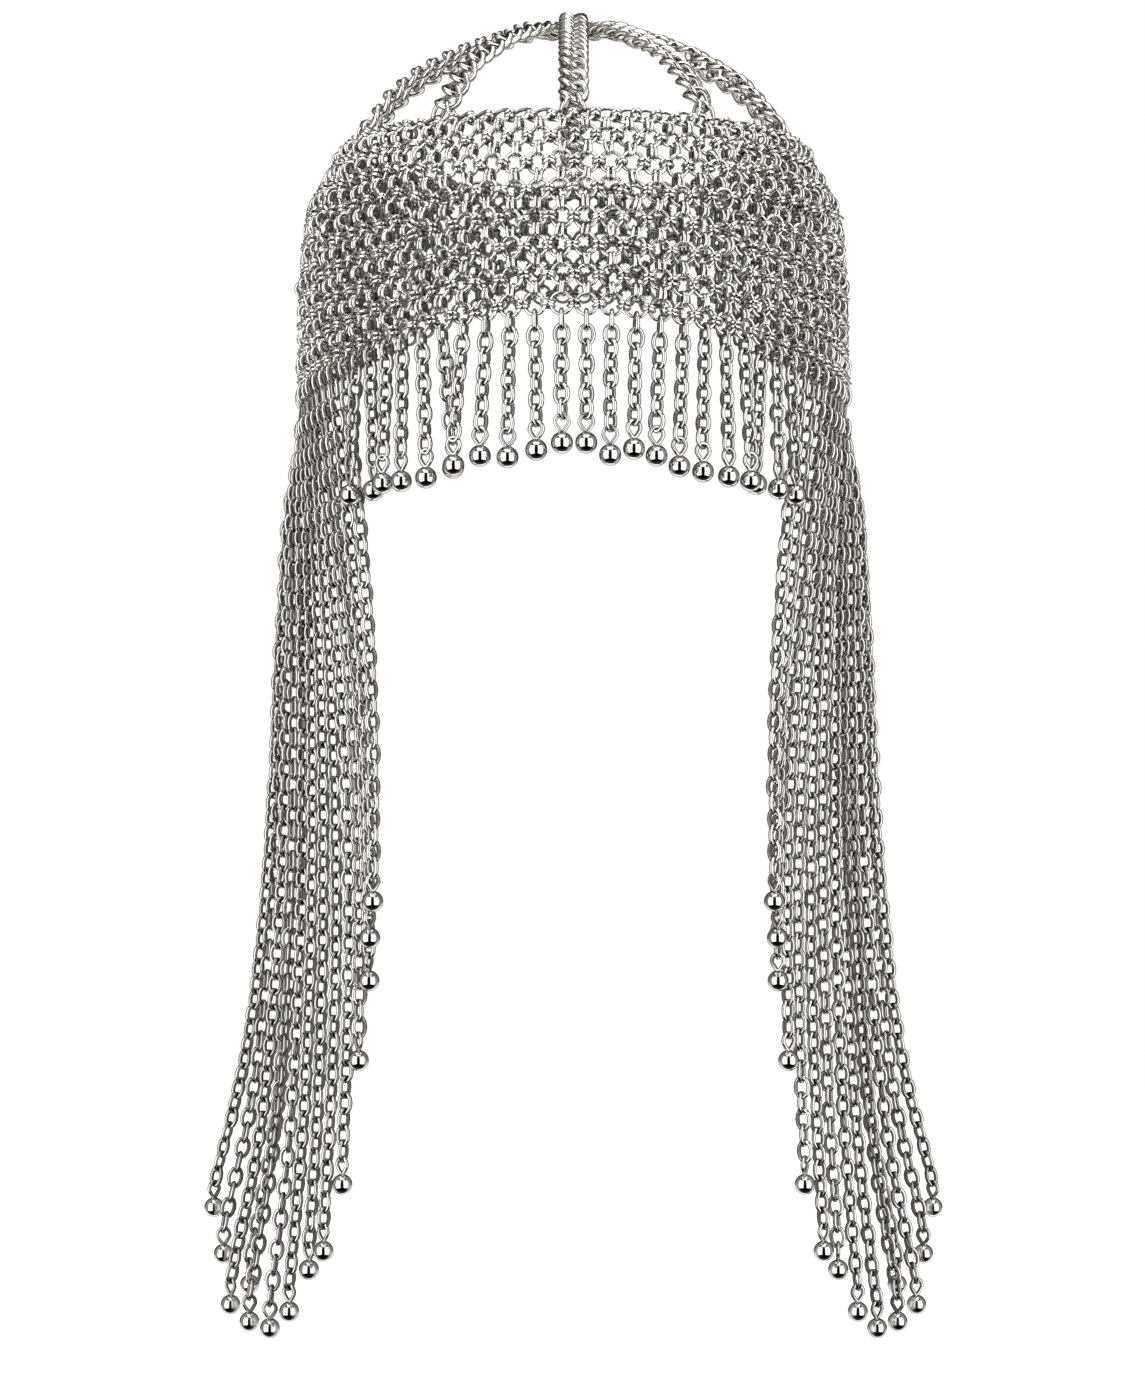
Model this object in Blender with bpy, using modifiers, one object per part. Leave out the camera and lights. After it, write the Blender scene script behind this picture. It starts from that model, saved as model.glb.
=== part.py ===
"""Head chain: a band of ring mesh that goes round the head, wide curb chains over the crown,
a short fringe of ball-ended chains at the front and a long curtain of them at each side.

Metres, +Z up, the front towards -Y. The origin is under the middle of the crown, where the
chains rest on top of the head.
"""
import math
from bisect import bisect_right

import bmesh
import bpy
import numpy as np
from mathutils import Vector

MM = 0.001

# Band of ring mesh, measured to the middle of its thickness
BAND_WIDTH = 158.6 * MM
BAND_DEPTH = 194 * MM
BAND_THICKNESS = 5.4 * MM
BAND_HEIGHT_FRONT = 61 * MM
BAND_HEIGHT_SIDE = 75.5 * MM
BAND_HEIGHT_BACK = 38.5 * MM
RING_PITCH = 6.9 * MM
RINGS_PER_CELL = 2
CELL_ROWS = 3
CELL_BAR = 5.4 * MM

# How the band closes in towards its top edge: depth below the edge as a share of the side
# height, then half width and half depth as shares of the widest ones
BAND_PROFILE = (
    {"down": 0.00, "wide": 0.826, "deep": 0.876},
    {"down": 0.16, "wide": 0.913, "deep": 0.938},
    {"down": 0.31, "wide": 0.984, "deep": 0.980},
    {"down": 0.47, "wide": 1.000, "deep": 1.000},
    {"down": 1.00, "wide": 1.018, "deep": 1.000},
)

# Crown chains, each one wide curb chain, smaller at the tip where the side ones crowd
CROWN_RISE = 32.3 * MM
CROWN_CHAIN_WIDTH = 9.0 * MM
CROWN_CHAIN_THICKNESS = 3.4 * MM
CROWN_CHAIN_TIP_WIDTH = 4.4 * MM
CROWN_CHAIN_TIP_THICKNESS = 1.8 * MM
CROWN_CHAIN_TAPER = 16 * MM
CENTER_RISE = 2.4 * MM
CROWN_INNER_COLUMN = 7
CROWN_OUTER_COLUMN = 15
CROWN_SIDE_COLUMN = 22
CROWN_SECTIONS = 8
CENTER_SECTIONS = 11
JOINING_RING_RADIUS = 6.4 * MM
JOINING_RING_WIRE = 2.4 * MM

# How the crown falls from its middle to the band: both columns are shares of the whole way
CROWN_PROFILE = (
    {"out": 0.00, "fall": 0.000},
    {"out": 0.23, "fall": 0.047},
    {"out": 0.44, "fall": 0.180},
    {"out": 0.63, "fall": 0.353},
    {"out": 0.83, "fall": 0.617},
    {"out": 1.00, "fall": 1.000},
)

# The middle chain climbs over the others near the top: place and lift as shares
CENTER_LIFT = (
    {"out": 0.00, "lift": 1.00},
    {"out": 0.20, "lift": 1.00},
    {"out": 0.29, "lift": 0.60},
    {"out": 0.39, "lift": 0.15},
    {"out": 0.48, "lift": 0.00},
    {"out": 1.00, "lift": 0.00},
)

# Hanging chains
CHAIN_WIDTH = 5.2 * MM
EYE_LENGTH = 4.6 * MM
BALL_CLEARANCE = 0.8 * MM
BALL_DIAMETER = RING_PITCH - BALL_CLEARANCE
BALL_RING_ANGLES = (22, 55, 90, 125, 158)
FRINGE_LENGTH = 38.5 * MM
SIDE_CHAIN_DROP = 387 * MM
SIDE_SPREAD_SHARE = 0.1
SIDE_CHAIN_POINTS = 6
GAP = 0.3 * MM

# Fringe, from the middle outwards: length as a share of the fringe's length, sideways swing
# as a share of the ring pitch and forward push as a share of a ball
FRINGE_LEFT = (
    {"length": 0.890, "swing": -0.04, "forward": 0.00},
    {"length": 0.935, "swing": -0.03, "forward": 0.00},
    {"length": 0.970, "swing": 0.14, "forward": 0.00},
    {"length": 0.940, "swing": 0.30, "forward": 0.00},
    {"length": 0.985, "swing": 0.25, "forward": 0.45},
    {"length": 0.970, "swing": -0.22, "forward": -0.50},
    {"length": 1.010, "swing": -0.22, "forward": 0.00},
    {"length": 1.000, "swing": 0.12, "forward": 0.00},
    {"length": 0.980, "swing": 0.07, "forward": 0.15},
    {"length": 0.995, "swing": 0.00, "forward": -0.15},
    {"length": 0.995, "swing": 0.04, "forward": 0.35},
)
FRINGE_RIGHT = (
    {"length": 0.890, "swing": 0.00, "forward": 0.00},
    {"length": 0.970, "swing": -0.06, "forward": 0.00},
    {"length": 0.910, "swing": -0.10, "forward": 0.00},
    {"length": 0.940, "swing": -0.17, "forward": 0.00},
    {"length": 0.990, "swing": -0.18, "forward": 0.00},
    {"length": 1.000, "swing": -0.10, "forward": 0.00},
    {"length": 1.000, "swing": 0.19, "forward": 0.00},
    {"length": 1.000, "swing": 0.12, "forward": 0.30},
    {"length": 0.985, "swing": -0.03, "forward": -0.25},
    {"length": 0.985, "swing": -0.05, "forward": 0.15},
    {"length": 0.995, "swing": -0.02, "forward": 0.30},
)

# Side curtain, from the front strand to the back one: how far down the ball hangs as a share
# of the longest drop, then how far out it hangs and how far the chain drapes inwards halfway,
# both as shares of the band's half width
SIDE_CHAINS = (
    {"drop": 0.662, "out": 0.720, "drape": 0.016},
    {"drop": 0.690, "out": 0.735, "drape": 0.014},
    {"drop": 0.723, "out": 0.742, "drape": 0.006},
    {"drop": 0.784, "out": 0.785, "drape": 0.028},
    {"drop": 0.879, "out": 0.850, "drape": 0.050},
    {"drop": 0.932, "out": 0.925, "drape": 0.062},
    {"drop": 0.949, "out": 0.985, "drape": 0.060},
    {"drop": 0.984, "out": 1.065, "drape": 0.056},
    {"drop": 1.000, "out": 1.145, "drape": 0.052},
    {"drop": 0.998, "out": 1.230, "drape": 0.046},
    {"drop": 0.988, "out": 1.310, "drape": 0.036},
    {"drop": 0.951, "out": 1.345, "drape": 0.018},
    {"drop": 0.917, "out": 1.390, "drape": 0.004},
    {"drop": 0.981, "out": 1.260, "drape": 0.024},
)

# How a side chain reaches its place: share of its fall, then share of its sideways shift
SHIFT_OUTWARDS = (
    {"fall": 0.00, "shift": 0.00},
    {"fall": 0.12, "shift": 0.24},
    {"fall": 0.30, "shift": 0.36},
    {"fall": 0.60, "shift": 0.49},
    {"fall": 0.85, "shift": 0.72},
    {"fall": 1.00, "shift": 1.00},
)
SHIFT_INWARDS = (
    {"fall": 0.00, "shift": 0.00},
    {"fall": 0.25, "shift": 0.30},
    {"fall": 0.60, "shift": 0.75},
    {"fall": 1.00, "shift": 1.00},
)


def smooth(rows, key, value, x):
    """The value at x on a smooth line through the rows of a table."""
    xs = [row[key] for row in rows]
    ys = [row[value] for row in rows]
    slopes = np.gradient(ys, xs)
    i = min(max(bisect_right(xs, x) - 1, 0), len(xs) - 2)
    span = xs[i + 1] - xs[i]
    f = (x - xs[i]) / span
    start = ys[i] * (1 + 2 * f) * (1 - f) ** 2 + slopes[i] * span * f * (1 - f) ** 2
    end = ys[i + 1] * f ** 2 * (3 - 2 * f) - slopes[i + 1] * span * f ** 2 * (1 - f)
    return start + end


def column_table():
    """Number of columns, and the angle round the oval against the column reached there."""
    angles = np.linspace(0, 2 * math.pi, 721)
    speed = np.hypot(BAND_WIDTH / 2 * np.cos(angles), BAND_DEPTH / 2 * np.sin(angles))
    steps = (speed[1:] + speed[:-1]) / 2 * np.diff(angles)
    travel = np.concatenate(([0], np.cumsum(steps)))
    cells = round(travel[-1] / (RING_PITCH * RINGS_PER_CELL) / 2) * 2
    columns = cells * RINGS_PER_CELL
    return columns, travel / travel[-1] * columns, angles


COLUMNS, COLUMN_TRAVEL, COLUMN_ANGLES = column_table()


def column_angle(column):
    return float(np.interp(column % COLUMNS, COLUMN_TRAVEL, COLUMN_ANGLES))


def band_height(column):
    """Height of the band at a column: deepest at the sides, least at the hidden back."""
    angle = column_angle(column)
    middle = BAND_HEIGHT_FRONT if math.cos(angle) > 0 else BAND_HEIGHT_BACK
    return middle + (BAND_HEIGHT_SIDE - middle) * math.sin(angle) ** 2


def band_point(column, down):
    """A point in the middle of the band's thickness, a length down from its top edge."""
    angle = column_angle(column)
    share = min(max(down / BAND_HEIGHT_SIDE, 0), 1)
    half_width = BAND_WIDTH / 2 * smooth(BAND_PROFILE, "down", "wide", share)
    half_depth = BAND_DEPTH / 2 * smooth(BAND_PROFILE, "down", "deep", share)
    x = half_width * math.sin(angle)
    y = -half_depth * math.cos(angle)
    return Vector((x, y, -CROWN_RISE - down))


def band_edge(column, bottom):
    """A point on the straight-sided edge that the band's cells make."""
    first = math.floor(column / RINGS_PER_CELL) * RINGS_PER_CELL
    share = (column - first) / RINGS_PER_CELL
    ends = []
    for corner in (first, first + RINGS_PER_CELL):
        down = band_height(corner) if bottom else 0
        ends.append(band_point(corner, down))
    return ends[0].lerp(ends[1], share)


def top_edge_frame(column):
    """Point on the top edge, with the directions along it, up the mesh and outwards."""
    point = band_edge(column, bottom=False)
    along = (band_edge(column + 0.5, False) - band_edge(column - 0.5, False)).normalized()
    up = (band_point(column, 0) - band_point(column, CELL_BAR)).normalized()
    out = along.cross(up).normalized()
    if out.dot(point) < 0:
        out.negate()
    return point, along, up, out


def metal(name, colour, roughness):
    material = bpy.data.materials.new(name)
    material.use_nodes = True
    shader = material.node_tree.nodes["Principled BSDF"]
    shader.inputs["Base Color"].default_value = (*colour, 1)
    shader.inputs["Metallic"].default_value = 1.0
    shader.inputs["Roughness"].default_value = roughness
    return material


def add_object(name, data, material, collection):
    data.materials.append(material)
    piece = bpy.data.objects.new(name, data)
    collection.objects.link(piece)
    return piece


def net_band(material, collection):
    """The mesh as one pierced wall, a gap to every pair of ring columns in each row."""
    cells = COLUMNS // RINGS_PER_CELL
    bm = bmesh.new()
    bmesh.ops.create_grid(bm, x_segments=cells, y_segments=CELL_ROWS, size=0.5)
    for vert in bm.verts:
        column = round((vert.co.x + 0.5) * cells) * RINGS_PER_CELL
        share = 0.5 - vert.co.y
        vert.co = band_point(column, band_height(column) * share)
    bmesh.ops.remove_doubles(bm, verts=bm.verts, dist=GAP)
    bmesh.ops.recalc_face_normals(bm, faces=bm.faces)
    inner = bm.faces[:]
    bmesh.ops.inset_individual(bm, faces=inner, thickness=CELL_BAR / 2)
    bmesh.ops.delete(bm, geom=inner, context="FACES")
    mesh = bpy.data.meshes.new("net_band")
    bm.to_mesh(mesh)
    bm.free()
    band = add_object("net_band", mesh, material, collection)
    wall = band.modifiers.new("wall", "SOLIDIFY")
    wall.thickness = BAND_THICKNESS
    wall.offset = 0
    return band


def chamfered_outline(half_width, half_thickness):
    """Corners of a flat strap with its edges taken off, going round once."""
    side = half_thickness * 0.4
    flat = half_width - half_thickness * 0.6
    quarter = ((half_width, side), (flat, half_thickness))
    right = [(x, y) for x, y in quarter]
    left = [(-x, y) for x, y in reversed(quarter)]
    lower = [(-x, -y) for x, y in right + left]
    return right + left + lower


def crown_section(column, share, width, thickness, lift, sign=1):
    """One section of a crown chain: a ring of points at a share of the way to the band."""
    point, along, up, out = top_edge_frame(column)
    anchor = point + up * GAP

    def path(s):
        fall = smooth(CROWN_PROFILE, "out", "fall", s)
        rise = lift * smooth(CENTER_LIFT, "out", "lift", s)
        height = thickness / 2 + (anchor.z - thickness / 2) * fall + rise
        return Vector((anchor.x * s, anchor.y * s, height))

    radial = Vector((anchor.x, anchor.y, 0)).normalized()
    across = Vector((-radial.y, radial.x, 0))
    if across.dot(along) < 0:
        along.negate()
    across = across.lerp(along, share ** 3).normalized() * sign
    if share == 1:
        normal = out
    else:
        step = 0.01
        normal = (path(share + step) - path(share)).cross(across).normalized()
    if normal.z < 0:
        normal.negate()
    outline = chamfered_outline(width / 2, thickness / 2)
    return [path(share) + across * x + normal * y for x, y in outline]


def loft(name, sections, material, collection):
    """A closed body through sections that each have the same number of points."""
    bm = bmesh.new()
    rings = [[bm.verts.new(point) for point in section] for section in sections]
    for ring, following in zip(rings, rings[1:]):
        for i in range(len(ring)):
            j = (i + 1) % len(ring)
            bm.faces.new((ring[i], ring[j], following[j], following[i]))
    bm.faces.new(list(reversed(rings[0])))
    bm.faces.new(rings[-1])
    bmesh.ops.recalc_face_normals(bm, faces=bm.faces)
    mesh = bpy.data.meshes.new(name)
    bm.to_mesh(mesh)
    bm.free()
    return add_object(name, mesh, material, collection)


def crown_side_chain(name, column, material, collection):
    """One chain from the joining ring down to the band, narrower where the chains crowd."""
    point = top_edge_frame(column)[0]
    reach = math.hypot(point.x, point.y)
    inner = JOINING_RING_RADIUS + JOINING_RING_WIRE / 2 + GAP
    sections = []
    for share in np.linspace(inner / reach, 1, CROWN_SECTIONS):
        widening = min((share * reach - inner) / CROWN_CHAIN_TAPER, 1)
        width = CROWN_CHAIN_TIP_WIDTH * (1 - widening) + CROWN_CHAIN_WIDTH * widening
        thickness = CROWN_CHAIN_TIP_THICKNESS * (1 - widening) + CROWN_CHAIN_THICKNESS * widening
        sections.append(crown_section(column, float(share), width, thickness, 0))
    return loft(name, sections, material, collection)


def crown_center_chain(material, collection, guides):
    """The chain from front to back, over the others, with the joining ring soldered under it."""
    size = (CROWN_CHAIN_WIDTH, CROWN_CHAIN_THICKNESS, CENTER_RISE)
    shares = [float(s) for s in np.linspace(0, 1, CENTER_SECTIONS + 1)]
    front = [crown_section(0, s, *size) for s in reversed(shares)]
    back = [crown_section(COLUMNS / 2, s, *size, sign=-1) for s in shares[1:]]
    chain = loft("crown_chain_center", front + back, material, collection)
    bpy.ops.mesh.primitive_torus_add(
        major_radius=JOINING_RING_RADIUS,
        minor_radius=JOINING_RING_WIRE / 2,
        major_segments=16,
        minor_segments=8,
    )
    ring = bpy.context.object
    ring.name = "joining_ring"
    ring.location.z = CENTER_RISE - JOINING_RING_WIRE / 2 + GAP * 2
    for home in ring.users_collection:
        home.objects.unlink(ring)
    guides.objects.link(ring)
    ring.hide_render = True
    ring.display_type = "WIRE"
    join = chain.modifiers.new("joining_ring", "BOOLEAN")
    join.operation = "UNION"
    join.object = ring
    return chain


def hanging_chain(name, route, material, collection):
    """A chain as one tube that narrows below its last link and swells into its ball."""
    tube_radius = CHAIN_WIDTH / 2
    ball_radius = BALL_DIAMETER / 2
    points = [(place, tube_radius) for place in route]
    center = route[-1] - Vector((0, 0, EYE_LENGTH + ball_radius))
    for degrees in BALL_RING_ANGLES:
        turn = math.radians(degrees)
        place = center + Vector((0, 0, ball_radius * math.cos(turn)))
        points.append((place, ball_radius * math.sin(turn)))
    curve = bpy.data.curves.new(name, "CURVE")
    curve.dimensions = "3D"
    curve.bevel_depth = tube_radius
    curve.bevel_resolution = 3
    curve.use_fill_caps = True
    spline = curve.splines.new("POLY")
    spline.points.add(len(points) - 1)
    for point, (place, radius) in zip(spline.points, points):
        point.co = (*place, 1)
        point.radius = radius / tube_radius
    return add_object(name, curve, material, collection)


def chain_top(column):
    """Where a hanging chain starts, just under the lower edge of the band."""
    point = band_edge(column, bottom=True)
    reach = CHAIN_WIDTH / 2 / RING_PITCH
    lowest = min(band_edge(column + shift, True).z for shift in (-reach, 0, reach))
    return Vector((point.x, point.y, lowest - GAP))


def fringe_strand(name, column, row, material, collection):
    """A short chain of the fringe, swung a little aside and forward from its column."""
    side = math.copysign(1, column)
    top = chain_top(column)
    along = (band_edge(column + side, True) - band_edge(column, True))
    along.z = 0
    along.normalize()
    out = Vector((along.y, -along.x, 0))
    if out.dot(top) < 0:
        out.negate()
    end = top + along * row["swing"] * RING_PITCH + out * row["forward"] * BALL_DIAMETER
    end.z = top.z - FRINGE_LENGTH * row["length"] + BALL_DIAMETER / 2 + EYE_LENGTH
    return hanging_chain(name, [top, end], material, collection)


def side_strand(name, column, row, material, collection):
    """A long chain of the curtain, easing from its column to the place of its ball."""
    side = math.copysign(1, column)
    top = chain_top(column)
    shift = row["out"] * BAND_WIDTH / 2 - abs(top.x)
    table = SHIFT_OUTWARDS if shift > 0 else SHIFT_INWARDS
    lowest = -SIDE_CHAIN_DROP * row["drop"] + BALL_DIAMETER / 2 + EYE_LENGTH
    route = []
    for fall in np.linspace(0, 1, SIDE_CHAIN_POINTS):
        moved = shift * smooth(table, "fall", "shift", float(fall))
        drape = row["drape"] * BAND_WIDTH / 2 * 4 * fall * (1 - fall)
        x = side * (abs(top.x) + moved - drape)
        y = top.y * (1 + SIDE_SPREAD_SHARE * fall ** 2)
        z = top.z + (lowest - top.z) * fall
        route.append(Vector((x, y, z)))
    return hanging_chain(name, route, material, collection)


def fringe(material, collection):
    """Short chains numbered from left to right, one to each ring column."""
    last = len(FRINGE_LEFT)
    for i, row in enumerate(FRINGE_LEFT):
        fringe_strand(f"fringe_strand_{last - i:02d}", -(i + 0.5), row, material, collection)
    for i, row in enumerate(FRINGE_RIGHT):
        fringe_strand(f"fringe_strand_{last + 1 + i:02d}", i + 0.5, row, material, collection)


def side_curtain(side_name, sign, material, collection):
    """Long chains of one side, numbered from the front, next to the fringe's last one."""
    for i, row in enumerate(SIDE_CHAINS):
        column = sign * (len(FRINGE_LEFT) + i + 0.5)
        name = f"side_strand_{side_name}_{i + 1:02d}"
        side_strand(name, column, row, material, collection)


def crown(material, collection, guides):
    """The middle chain and three side chains to each side of it, the back left open."""
    crown_center_chain(material, collection, guides)
    places = (
        ("front_inner", CROWN_INNER_COLUMN),
        ("front_outer", CROWN_OUTER_COLUMN),
        ("side", CROWN_SIDE_COLUMN),
    )
    for side_name, sign in (("left", -1), ("right", 1)):
        for place, column in places:
            name = f"crown_chain_{place}_{side_name}"
            crown_side_chain(name, sign * column, material, collection)


def new_collection(name):
    collection = bpy.data.collections.new(name)
    bpy.context.scene.collection.children.link(collection)
    return collection


def main():
    for item in list(bpy.data.objects):
        bpy.data.objects.remove(item, do_unlink=True)
    parts = new_collection("head_chain")
    guides = new_collection("cutters")
    mesh_metal = metal("mesh_metal", (0.72, 0.70, 0.68), 0.16)
    crown_metal = metal("crown_metal", (0.74, 0.72, 0.70), 0.14)
    strand_metal = metal("strand_metal", (0.72, 0.70, 0.68), 0.15)
    net_band(mesh_metal, parts)
    crown(crown_metal, parts, guides)
    fringe(strand_metal, parts)
    side_curtain("left", -1, strand_metal, parts)
    side_curtain("right", 1, strand_metal, parts)


main()
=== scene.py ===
# %% [markdown]
# # A head chain of ring mesh, curb chains and hanging chains
# The real piece is made from thousands of small wire parts of silver-coloured metal. A band of
# linked rings goes round the head, wide curb chains cross over the crown, short chains with
# balls hang across the front and long ones hang at each side. This lesson makes each wire part
# once and then lays copies of it along a few smooth surfaces and lines, which is also how the
# real piece is put together.
#
# The plain solids of the same object come from the construction model, which is loaded first.
# Each detailed piece below takes the place of one of them.

import math

import bmesh
import bpy
import numpy as np
from mathutils import Matrix


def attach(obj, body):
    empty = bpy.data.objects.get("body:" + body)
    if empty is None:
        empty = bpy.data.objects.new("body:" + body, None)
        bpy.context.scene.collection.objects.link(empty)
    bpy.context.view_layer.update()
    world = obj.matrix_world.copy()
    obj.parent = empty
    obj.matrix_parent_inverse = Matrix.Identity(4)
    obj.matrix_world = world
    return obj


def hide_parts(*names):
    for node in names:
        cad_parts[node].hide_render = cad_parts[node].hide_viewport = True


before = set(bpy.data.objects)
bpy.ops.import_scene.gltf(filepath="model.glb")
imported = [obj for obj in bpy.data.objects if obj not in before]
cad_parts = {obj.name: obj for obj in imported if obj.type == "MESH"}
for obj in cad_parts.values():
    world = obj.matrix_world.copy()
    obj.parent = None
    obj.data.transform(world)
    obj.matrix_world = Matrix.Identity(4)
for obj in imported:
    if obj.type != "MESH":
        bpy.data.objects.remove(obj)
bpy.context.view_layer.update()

# %% [markdown]
# ## The camera
# The picture was taken from straight in front, a little more than a metre away, at about the
# middle of the object's height. The level upper edge of the band looks bowed for that reason: its
# front is nearer and so looks higher. A camera at the same distance gives the same bow. The lens
# follows from the focal length in pixels and the height of the picture.

# %% Camera
MM = 0.001
PICTURE_HEIGHT = 1374
FOCAL_LENGTH_PIXELS = 3900
CAMERA_DISTANCE = 1170 * MM
EYE_LEVEL = -195.3 * MM
CAMERA_SIDE = -0.3 * MM
SENSOR_HEIGHT = 24
SIGHT_ENDS = 20

camera_data = bpy.data.cameras.new("front_camera")
camera_data.sensor_fit = "VERTICAL"
camera_data.sensor_height = SENSOR_HEIGHT
camera_data.lens = FOCAL_LENGTH_PIXELS / PICTURE_HEIGHT * SENSOR_HEIGHT
camera_data.clip_end = SIGHT_ENDS
camera = bpy.data.objects.new("front_camera", camera_data)
camera.location = (CAMERA_SIDE, -CAMERA_DISTANCE, EYE_LEVEL)
camera.rotation_euler = (math.radians(90), 0, 0)
bpy.context.scene.collection.objects.link(camera)
bpy.context.scene.camera = camera
print("lens in mm:", round(camera_data.lens, 2))

# %% [markdown]
# ## Studio
# Polished metal shows its surroundings, so the light is most of its look. A ball in the picture
# shows two tall bright patches with a dark strip between them, a small bright patch above and a
# pale rim below. That is a softbox to the left and one to the right of the camera, one overhead,
# a dark room behind the camera and a pale floor. The dark strip widens downwards, and the flanks
# of the ball are grey: the room is darkest low down and lighter at both sides. The same set-up is
# built here from three area lights, a world with those tones and a pale floor. The world is white
# only where the camera sees it directly, as a bright paper background far behind would be.

# %% Softboxes
LIGHTS_AIM = (0, 0, -150 * MM)


def softbox(name, azimuth, elevation, distance, size, brightness):
    """An area light that faces the object. Azimuth 0 is at the camera, 90 at the right."""
    turn, tilt = math.radians(azimuth), math.radians(elevation)
    away = np.array([math.sin(turn) * math.cos(tilt), -math.cos(turn) * math.cos(tilt),
                     math.sin(tilt)])
    data = bpy.data.lights.new(name, "AREA")
    data.shape = "RECTANGLE"
    data.size, data.size_y = size
    # The power of an area light is its brightness times its area and pi
    data.energy = brightness * math.pi * size[0] * size[1]
    light = bpy.data.objects.new(name, data)
    back = away / np.linalg.norm(away)
    side = np.cross((0, 0, 1), back)
    side /= np.linalg.norm(side)
    placed = np.eye(4)
    placed[:3, :3] = np.column_stack([side, np.cross(back, side), back])
    placed[:3, 3] = np.array(LIGHTS_AIM) + back * distance
    light.matrix_world = Matrix(placed.tolist())
    bpy.context.scene.collection.objects.link(light)


for name, azimuth in (("left_softbox", -46), ("right_softbox", 46)):
    softbox(name, azimuth, elevation=2, distance=1.6, size=(1.75, 2.7), brightness=1.95)
softbox("top_softbox", azimuth=0, elevation=78, distance=1.3, size=(1.2, 1.5), brightness=1.6)

# %% World
# How far a direction points away from the camera's side, from -1 to 1, and the room's tone there
ROOM_TONES = ((-0.30, 0.012), (-0.05, 0.44), (0.25, 0.44), (0.60, 0.14), (1.00, 0.04))
# The room fades between these two heights of a direction, down to this share
FADE_HEIGHTS = (-0.75, -0.25)
FADE_SHARE = 0.1

scene = bpy.context.scene
scene.view_settings.view_transform = "Standard"
scene.view_settings.look = "None"
world = bpy.data.worlds.new("studio")
world.use_nodes = True
scene.world = world
nodes, links = world.node_tree.nodes, world.node_tree.links
nodes.clear()
direction = nodes.new("ShaderNodeTexCoord")
direction_parts = nodes.new("ShaderNodeSeparateXYZ")
backwards = nodes.new("ShaderNodeMapRange")
backwards.inputs["From Min"].default_value = -1
backwards.inputs["From Max"].default_value = 1
room_colour = nodes.new("ShaderNodeValToRGB")
stops = room_colour.color_ramp.elements
stops.remove(stops[1])
for number, (behind, tone) in enumerate(ROOM_TONES):
    stop = stops.new((behind + 1) / 2) if number else stops[0]
    stop.position = (behind + 1) / 2
    stop.color = (tone, tone, tone, 1)
links.new(direction.outputs["Generated"], direction_parts.inputs[0])
links.new(direction_parts.outputs["Y"], backwards.inputs["Value"])
links.new(backwards.outputs[0], room_colour.inputs[0])
fade = nodes.new("ShaderNodeMapRange")
fade.inputs["From Min"].default_value = FADE_HEIGHTS[0]
fade.inputs["From Max"].default_value = FADE_HEIGHTS[1]
fade.inputs["To Min"].default_value = FADE_SHARE
links.new(direction_parts.outputs["Z"], fade.inputs["Value"])
room = nodes.new("ShaderNodeBackground")
links.new(room_colour.outputs[0], room.inputs["Color"])
links.new(fade.outputs[0], room.inputs["Strength"])
paper = nodes.new("ShaderNodeBackground")
paper.inputs["Color"].default_value = (1, 1, 1, 1)
ray = nodes.new("ShaderNodeLightPath")
choose = nodes.new("ShaderNodeMixShader")
output = nodes.new("ShaderNodeOutputWorld")
links.new(ray.outputs["Is Camera Ray"], choose.inputs["Fac"])
links.new(room.outputs[0], choose.inputs[1])
links.new(paper.outputs[0], choose.inputs[2])
links.new(choose.outputs[0], output.inputs["Surface"])
print("room tones:", len(ROOM_TONES))

# %% Floor
FLOOR_HEIGHT = -620 * MM
FLOOR_RADIUS = 1500 * MM
# The floor starts just behind the object's middle, so the balls in front show it only as a rim
FLOOR_SHIFT_BACK = 1560 * MM
FLOOR_COLOUR = (0.9, 0.9, 0.9, 1)
FLOOR_ROUGHNESS = 0.9

floor_material = bpy.data.materials.new("pale_floor")
floor_material.use_nodes = True
floor_shader = floor_material.node_tree.nodes["Principled BSDF"]
floor_shader.inputs["Base Color"].default_value = FLOOR_COLOUR
floor_shader.inputs["Roughness"].default_value = FLOOR_ROUGHNESS
floor_shader.inputs["Emission Color"].default_value = (1, 1, 1, 1)
floor_shader.inputs["Emission Strength"].default_value = 1.0
bm = bmesh.new()
bmesh.ops.create_circle(bm, cap_ends=True, segments=96, radius=FLOOR_RADIUS)
bmesh.ops.translate(bm, verts=bm.verts, vec=(0, FLOOR_SHIFT_BACK, FLOOR_HEIGHT))
floor_mesh = bpy.data.meshes.new("floor")
bm.to_mesh(floor_mesh)
bm.free()
floor_mesh.materials.append(floor_material)
floor = bpy.data.objects.new("floor", floor_mesh)
scene.collection.objects.link(floor)
print("floor at:", FLOOR_HEIGHT)

# %% [markdown]
# ## Silver-coloured metal
# The metal is a bright plate with a warm grey cast. Shade is painted into its colour: the inner
# side of each ring, the flanks turned away from the outside and the parts that lie deeper are
# made darker brown, and a little rougher as well. No two rings are quite alike in tone. Both
# effects could be put into an image texture, but with thousands of rings it is better to let each
# mesh carry two numbers for each point: how much painted shade it gets, and a tone of its own for
# each ring. The groups below turn them and some fine noise into colour, roughness and bump. The
# four metals differ in the brightness of the plate and in how deep their painted shade is: the
# balls are smooth all over and have none.

# %% Shared surface effects
DULL_ROUGHNESS = 0.3


def new_group(name, inputs, outputs):
    """An empty node group with named sockets, and its input and output nodes."""
    group = bpy.data.node_groups.new(name, "ShaderNodeTree")
    for socket, kind, value in inputs:
        made = group.interface.new_socket(socket, in_out="INPUT", socket_type=kind)
        made.default_value = value
    for socket, kind in outputs:
        group.interface.new_socket(socket, in_out="OUTPUT", socket_type=kind)
    return group, group.nodes.new("NodeGroupInput"), group.nodes.new("NodeGroupOutput")


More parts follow.
